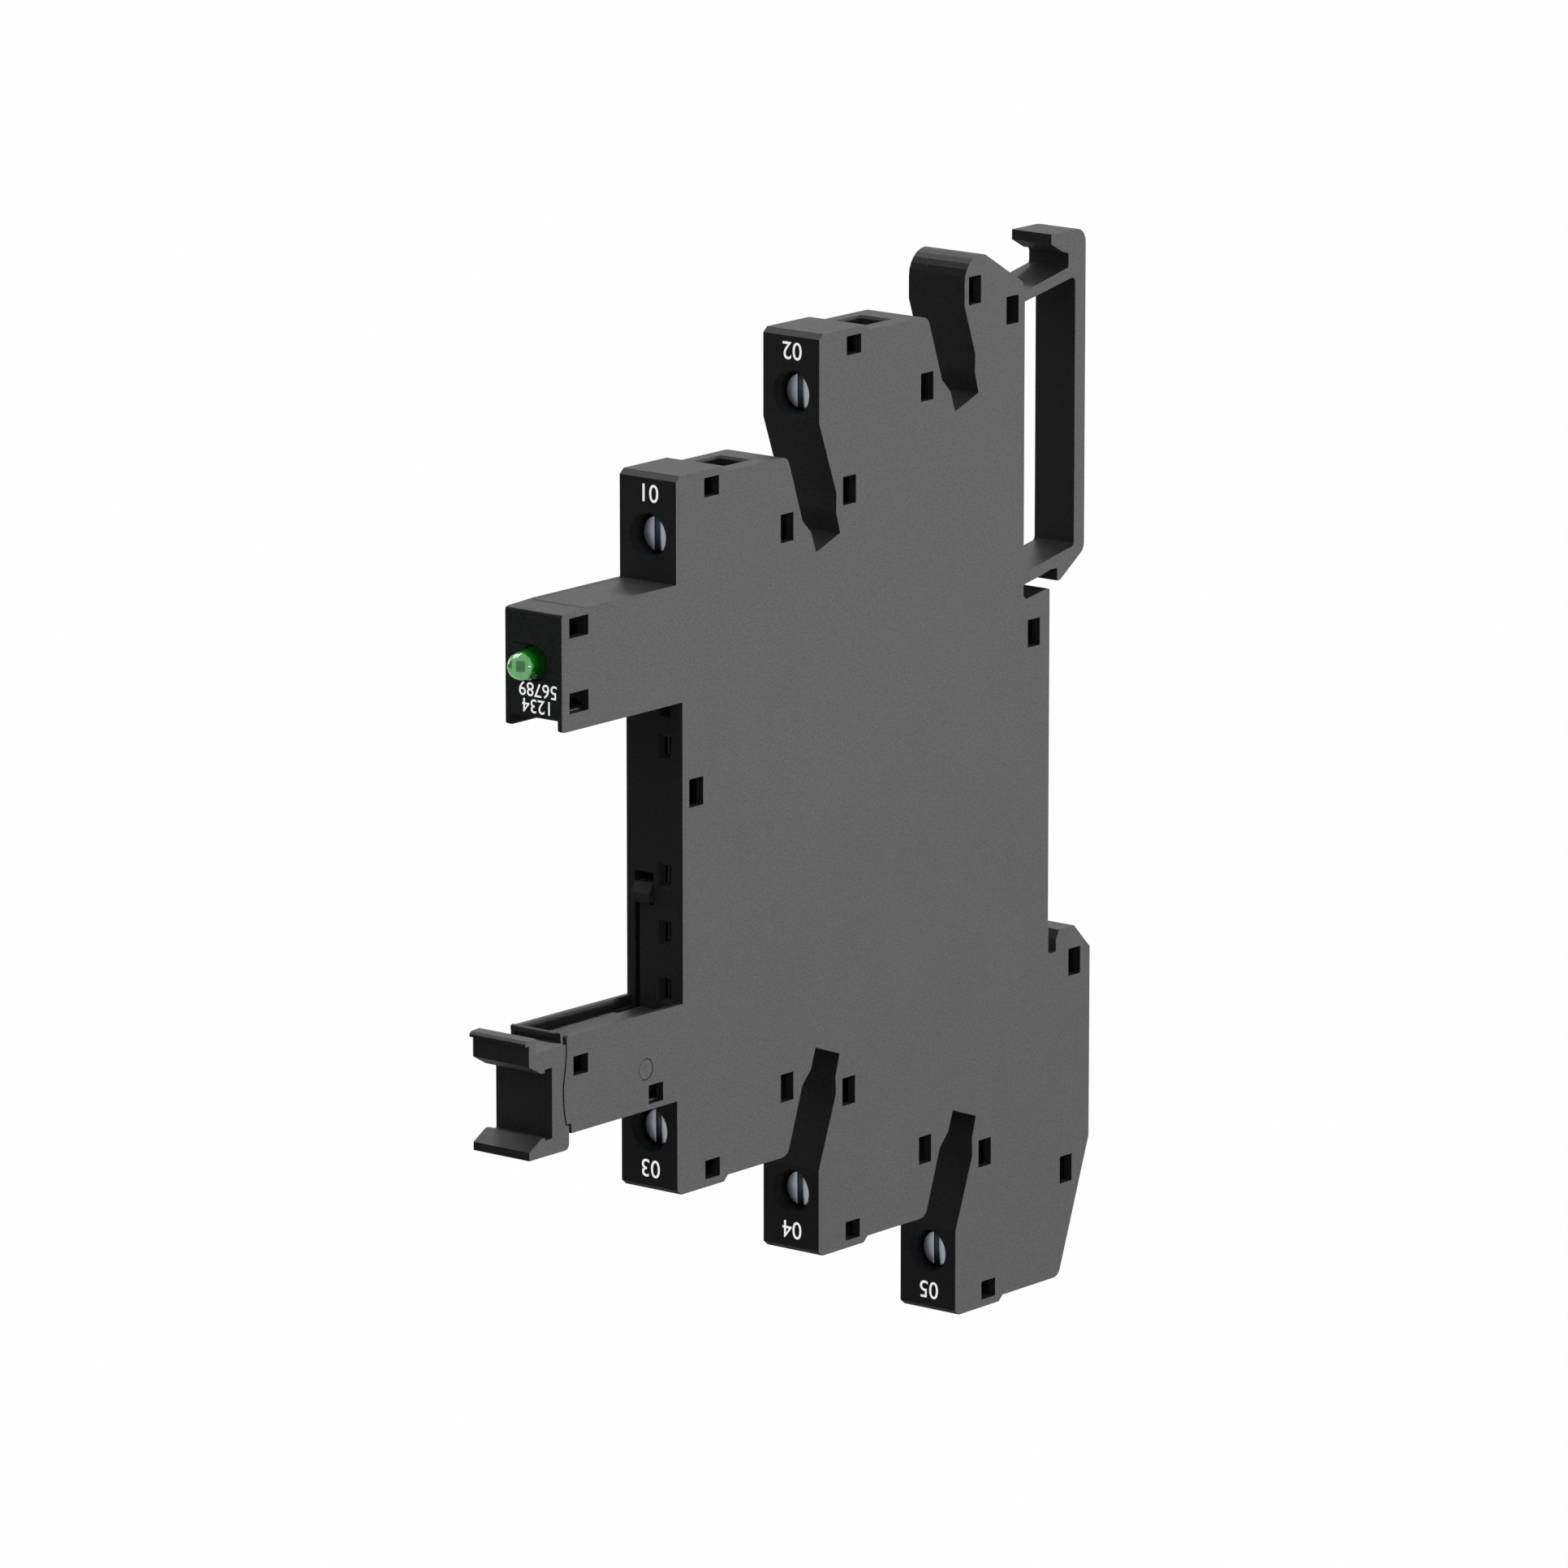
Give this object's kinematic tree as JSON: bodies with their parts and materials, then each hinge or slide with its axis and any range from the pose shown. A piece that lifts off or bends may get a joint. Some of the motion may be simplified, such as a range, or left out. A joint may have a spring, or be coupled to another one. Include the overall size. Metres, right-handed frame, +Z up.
{
  "type": "relay socket",
  "caption": "Slim 6 mm rail-mounted socket for a plug-in relay, with screw clamps in steps, an indicator lamp and an ejector lever.",
  "frame": {"origin": "middle of the seat that rests on the front of the rail", "axes": "+X across the module's 6.2 mm width, toward the side with the snap windows; -Y toward the screws and the lamp; +Z up the module, toward the rail latch"},
  "size_m": [0.0062, 0.0787, 0.0959],
  "materials": {
    "housing": "fine matt grain",
    "lid": "fine matt grain",
    "lever": "fine matt grain",
    "lamp": "clear green lens",
    "tinned": "tinned",
    "board": "solder mask",
    "chip": "moulded epoxy",
    "resistor": "lacquered",
    "diode": "lacquered glass body",
    "capacitor": "sintered",
    "wire": "insulated",
    "copper": "stamped copper alloy",
    "screw": "zinc plated",
    "cage": "plated sheet"
  },
  "bodies": {
    "base": {"housing": "housing", "side_lid": "lid", "led": "lamp", "led_lead_1": "tinned", "led_lead_2": "tinned", "circuit_board": "board", "bridge_rectifier": "chip", "led_resistor": "resistor", "surge_diode": "diode", "filter_capacitor": "capacitor", "jumper_wire": "wire", "conductor_a1": "copper", "conductor_a2": "copper", "conductor_11": "copper", "conductor_12": "copper", "conductor_14": "copper"},
    "ejector": {"ejector_lever": "lever"},
    "screw_a1": {"screw_a1": "screw"},
    "cage_a1": {"cage_a1": "cage"},
    "screw_a2": {"screw_a2": "screw"},
    "cage_a2": {"cage_a2": "cage"},
    "screw_11": {"screw_11": "screw"},
    "cage_11": {"cage_11": "cage"},
    "screw_12": {"screw_12": "screw"},
    "cage_12": {"cage_12": "cage"},
    "screw_14": {"screw_14": "screw"},
    "cage_14": {"cage_14": "cage"}
  },
  "joints": [
    {"name": "ejector_swing", "type": "hinge", "parent": "base", "child": "ejector", "pos_m": [0, -0.0565, -0.0172], "axis": [1, 0, 0], "range_deg": [0, 20]},
    {"name": "screw_a1_turn", "type": "hinge", "parent": "base", "child": "screw_a1", "pos_m": [0, -0.0493, 0.0283], "axis": [0, 1, 0], "range_deg": [0, 2001]},
    {"name": "cage_a1_slide", "type": "slide", "parent": "base", "child": "cage_a1", "axis": [0, -1, 0], "range_m": [0, 0.0025]},
    {"name": "screw_a2_turn", "type": "hinge", "parent": "base", "child": "screw_a2", "pos_m": [0, -0.0298, 0.0378], "axis": [0, 1, 0], "range_deg": [0, 2001]},
    {"name": "cage_a2_slide", "type": "slide", "parent": "base", "child": "cage_a2", "axis": [0, -1, 0], "range_m": [0, 0.0025]},
    {"name": "screw_11_turn", "type": "hinge", "parent": "base", "child": "screw_11", "pos_m": [0, -0.0298, -0.0333], "axis": [0, 1, 0], "range_deg": [0, 2001]},
    {"name": "cage_11_slide", "type": "slide", "parent": "base", "child": "cage_11", "axis": [0, -1, 0], "range_m": [0, 0.0025]},
    {"name": "screw_12_turn", "type": "hinge", "parent": "base", "child": "screw_12", "pos_m": [0, -0.0103, -0.0428], "axis": [0, 1, 0], "range_deg": [0, 2001]},
    {"name": "cage_12_slide", "type": "slide", "parent": "base", "child": "cage_12", "axis": [0, -1, 0], "range_m": [0, 0.0025]},
    {"name": "screw_14_turn", "type": "hinge", "parent": "base", "child": "screw_14", "pos_m": [0, -0.0493, -0.0238], "axis": [0, 1, 0], "range_deg": [0, 2001]},
    {"name": "cage_14_slide", "type": "slide", "parent": "base", "child": "cage_14", "axis": [0, -1, 0], "range_m": [0, 0.0025]}
  ],
  "couplings": [
    {"joint": "screw_a1_turn", "follows": "cage_a1_slide", "rad_per_m": 13963},
    {"joint": "screw_a2_turn", "follows": "cage_a2_slide", "rad_per_m": 13963},
    {"joint": "screw_11_turn", "follows": "cage_11_slide", "rad_per_m": 13963},
    {"joint": "screw_12_turn", "follows": "cage_12_slide", "rad_per_m": 13963},
    {"joint": "screw_14_turn", "follows": "cage_14_slide", "rad_per_m": 13963}
  ]
}
